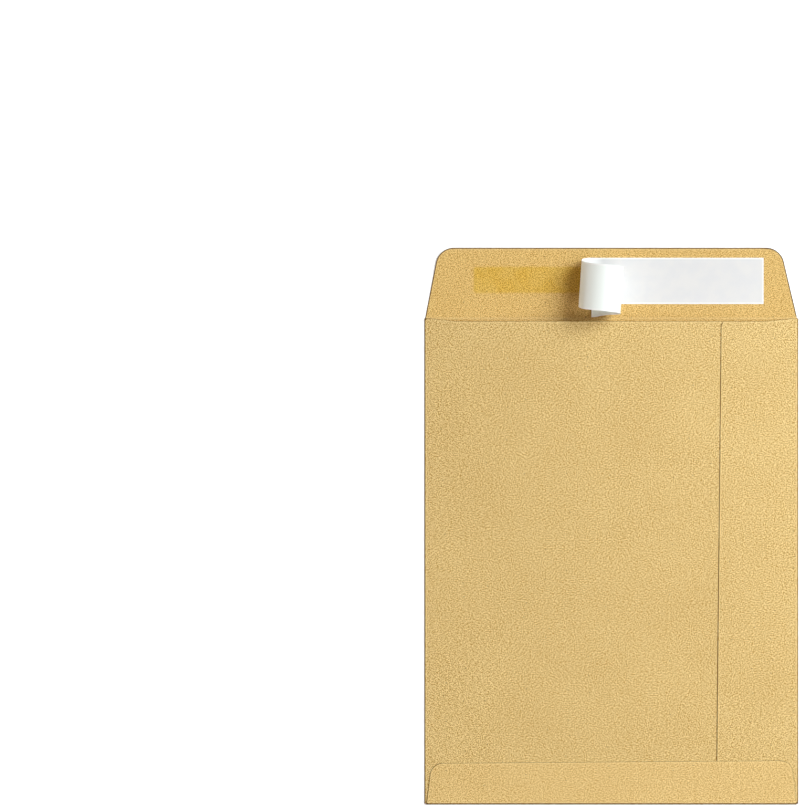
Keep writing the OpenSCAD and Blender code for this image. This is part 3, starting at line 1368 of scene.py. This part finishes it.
@dataclass(frozen=True)
class AmberAdhesive(Finish):
    """Clear amber adhesive through which the speckle of the paper shows.

    Args:
        paper: The paper below it.
        half_w: Half the band's width.
        half_h: Half the band's height.
        corner_r: Radius of its corners.
        middle_y: Height of its middle.
    """

    name: ClassVar[str] = "amber adhesive"
    paper: BrownPaper
    half_w: float
    half_h: float
    corner_r: float
    middle_y: float
    thin: Colour = (250, 246, 200)
    thick: Colour = (248, 240, 178)
    pool: float = 14 * MM
    ripple: float = 2.2 * MM
    wander: float = 1.5 * MM
    soft_edge: float = 2.4 * MM
    depth: float = 0.04 * MM

    def inset(self, graph: Graph) -> Value:
        """Distance inwards from the band's outline.

        Args:
            graph: The graph to add to.

        Returns:
            The distance.
        """
        x = graph.add("ShaderNodeSeparateXYZ", None, {"Vector": graph.at}, "X")
        y = x.sibling("Y")
        over_x = (abs(x) - (self.half_w - self.corner_r)).most(0.0)
        over_y = (abs(y - self.middle_y) - (self.half_h - self.corner_r)).most(0.0)
        return self.corner_r - (over_x * over_x + over_y * over_y) ** 0.5

    def inputs(self, graph: Graph) -> Dict[str, Input]:
        """The paper's colour, tinted up to a soft outline."""
        pools = graph.step(graph.noise(self.pool, 1), 0.35, 0.65)
        ripples = graph.noise(self.ripple)
        relief = self.paper.relief(graph)
        tint = graph.blend(pools, linear(self.thin), linear(self.thick))
        cover = graph.step(self.inset(graph) + (ripples - 0.5) * self.wander, 0.0, self.soft_edge)
        return {
            "Base Color": graph.blend(cover, self.paper.body(graph, relief), tint, "MULTIPLY"),
            "Roughness": 0.3 + 0.3 * ripples,
            "Specular IOR Level": 0.12,
            "Normal": graph.bump(0.5 * ripples + relief, self.depth),
        }


@dataclass(frozen=True)
class ReleasePaper(Finish):
    """Smooth white release paper, with a painted highlight along its edges, and paler where it is peeled
    off: partly no adhesive behind it, partly painted light on the roll's shaded face.
    """

    name: ClassVar[str] = "release paper"
    white: Colour = (235, 233, 232)
    shade: Colour = (231, 230, 231)
    # Paler colour of the peeled roll: partly no adhesive behind it, partly painted light on the roll's
    # shaded face.
    peeled: Colour = (243, 247, 243)
    # Painted highlight along the strip's edges.
    edge: Colour = (252, 252, 250)
    cloud: float = 9 * MM
    grain: float = 0.5 * MM
    depth: float = 0.02 * MM

    def inputs(self, graph: Graph) -> Dict[str, Input]:
        """Faintly clouded white with a slight sheen, paler on the peeled roll and with a painted highlight
        along the edges.
        """
        clouds = graph.noise(self.cloud)
        paper = graph.blend(graph.step(clouds, 0.3, 0.7), linear(self.shade), linear(self.white))
        # The peeled roll is painted paler: partly no adhesive behind it, partly painted light on its shaded
        # face.
        paper = graph.blend(graph.mark(Mark.PALE), paper, linear(self.peeled))
        return {
            # Painted highlight along the strip's edges.
            "Base Color": graph.blend(graph.step(graph.mark(Mark.EDGE), 0.0, 0.8), paper, linear(self.edge)),
            "Roughness": 0.36 + 0.1 * clouds,
            "Specular IOR Level": 0.4,
            "Sheen Weight": 0.25,
            "Sheen Roughness": 0.4,
            "Normal": graph.bump(clouds + 0.2 * graph.noise(self.grain), self.depth),
        }


@dataclass(frozen=True)
class DriedGlue(Finish):
    """Dried paper glue, pale and a little glossy, with fine streaks."""

    name: ClassVar[str] = "dried glue"
    pale: Colour = (241, 232, 208)
    dark: Colour = (226, 210, 174)
    streak: float = 1.5 * MM
    depth: float = 0.02 * MM

    def inputs(self, graph: Graph) -> Dict[str, Input]:
        """Streaks along the stripe."""
        streaks = graph.noise(self.streak, at=graph.turned(0, (1.0, 0.2, 1.0)))
        colour = graph.blend(graph.step(streaks, 0.3, 0.7), linear(self.dark), linear(self.pale))
        return {
            "Base Color": colour,
            "Roughness": 0.4 + 0.2 * streaks,
            "Normal": graph.bump(streaks, self.depth),
        }


# Studio


@dataclass(frozen=True)
class Lamp:
    """A round soft light that is aimed at the origin.

    Elevation and azimuth are in degrees, above the table and from +X, and power is in watts.
    """

    name: str
    elevation: float
    azimuth: float
    distance: float
    size: float
    power: float
    colour: Colour = (1.0, 1.0, 1.0)

    def build(self) -> None:
        """Adds the light."""
        up, turn = math.radians(self.elevation), math.radians(self.azimuth)
        aim = Vector((math.cos(up) * math.cos(turn), math.cos(up) * math.sin(turn), math.sin(up)))
        lamp = bpy.data.lights.new(self.name, "AREA")
        lamp.shape = "DISK"
        lamp.size = self.size
        lamp.energy = self.power
        lamp.color = self.colour
        light = placed(self.name, lamp)
        light.location = aim * self.distance
        light.rotation_euler = aim.to_track_quat("Z", "Y").to_euler()


COOL = (0.86, 0.945, 1.0)
KEY = Lamp("key light", elevation=44, azimuth=34, distance=2.6, size=1.8, power=80.0, colour=COOL)
SIDE = Lamp("side light", elevation=60, azimuth=-30, distance=0.85, size=0.6, power=1.85)
LOW = Lamp("low light", elevation=10, azimuth=180, distance=1.2, size=0.5, power=4.4)


@dataclass
class Studio:
    """Plain white floor, three soft lights, an even fill and the camera."""

    lamps: Tuple[Lamp, ...] = (KEY, SIDE, LOW)
    fill: float = 0.11
    fill_colour: Colour = (1.0, 0.5, 0.02)
    floor_size: float = 8.0
    floor_drop: float = 0.05 * MM
    floor_colour: Colour = (244, 244, 244)
    floor_glow: float = 0.36
    glow_start: float = 0.3
    glow_end: float = 1.2
    camera_height: float = 4.0
    camera_reach: float = 20.0
    frame_w_px: float = 800
    frame_h_px: float = 805
    centre_x_px: float = 611.4
    centre_y_px: float = 526.1
    pixel: float = 0.6795 * MM
    sensor: float = 36.0

    def seen(self, graph: Graph) -> Value:
        """1 for rays from the camera, also by way of gloss or glass, and 0 for light on the object."""
        rays = graph.add("ShaderNodeLightPath", output="Is Camera Ray")
        return rays.most(rays.sibling("Is Glossy Ray")).most(rays.sibling("Is Transmission Ray"))

    def floor(self) -> None:
        """Adds the floor, which shines a little by itself for the camera alone."""
        bm = bmesh.new()
        bmesh.ops.create_grid(bm, x_segments=1, y_segments=1, size=self.floor_size / 2)
        bmesh.ops.translate(bm, verts=bm.verts[:], vec=(0, 0, -self.floor_drop))
        mesh = bpy.data.meshes.new("floor")
        bm.to_mesh(mesh)
        bm.free()
        floor = placed("floor", mesh)
        material = bpy.data.materials.new("white floor")
        graph = Graph(material)
        far = graph.add("ShaderNodeVectorMath", {"operation": "LENGTH"}, {0: graph.at}, "Value")
        glow = self.floor_glow + (1 - self.floor_glow) * graph.step(far, self.glow_start, self.glow_end)
        matt = graph.add("ShaderNodeBsdfDiffuse", None, {"Color": linear(self.floor_colour)})
        light = graph.add("ShaderNodeEmission", None, {"Strength": glow * self.seen(graph)})
        graph.end("ShaderNodeOutputMaterial", graph.add("ShaderNodeAddShader", None, {0: matt, 1: light}))
        mesh.materials.append(material)

    def world(self) -> None:
        """Adds the fill: white to the camera, and the fill's colour as light."""
        world = bpy.data.worlds.new("studio")
        bpy.context.scene.world = world
        graph = Graph(world)
        seen = self.seen(graph)
        colour = graph.blend(seen, self.fill_colour + (1.0,), (1.0, 1.0, 1.0, 1.0))
        strength = self.fill + (1 - self.fill) * seen
        sky = graph.add("ShaderNodeBackground", None, {"Color": colour, "Strength": strength})
        graph.end("ShaderNodeOutputWorld", sky)

    def camera(self) -> None:
        """Adds the camera, which looks straight down."""
        lens = bpy.data.cameras.new("camera")
        lens.sensor_fit = "HORIZONTAL"
        lens.sensor_width = self.sensor
        lens.lens = self.sensor * self.camera_height / (self.frame_w_px * self.pixel)
        lens.clip_end = self.camera_reach
        camera = placed("camera", lens)
        x = (self.frame_w_px / 2 - self.centre_x_px) * self.pixel
        y = (self.centre_y_px - self.frame_h_px / 2) * self.pixel
        camera.location = (x, y, self.camera_height)
        bpy.context.scene.camera = camera

    def build(self) -> None:
        """Builds the studio and sets how its colours are shown."""
        self.floor()
        self.world()
        for lamp in self.lamps:
            lamp.build()
        self.camera()
        bpy.context.scene.view_settings.view_transform = "Standard"


def main() -> None:
    """Builds and dresses the envelope, and then the studio."""
    low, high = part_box("folded_sheet")
    sizes = BodySizes(half_w=high.x, bottom_y=low.y, flap_top_y=high.y)
    form = BackForm(sizes)
    outside, inside = BrownPaper(Side.OUTER), BrownPaper(Side.INNER)
    PaperSheet(sizes, form).dress(outside.material(), inside.material())
    glue = DriedGlue().material()
    SeamGlue(sizes, form).dress(glue, glue)
    band = AdhesiveBand(sizes)
    amber = AmberAdhesive(inside, band.half_w, band.height / 2, band.corner_r, band.middle_y).material()
    band.dress(amber, amber)
    white = ReleasePaper().material()
    ReleaseLiner(sizes, band.thickness).dress(white, white)
    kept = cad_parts["bottom_glue"]
    kept.data.materials.clear()
    kept.data.materials.append(glue)
    log.info("bottom_glue: kept, with the finish of dried glue")
    Studio().build()


if __name__ == "__main__":
    main()
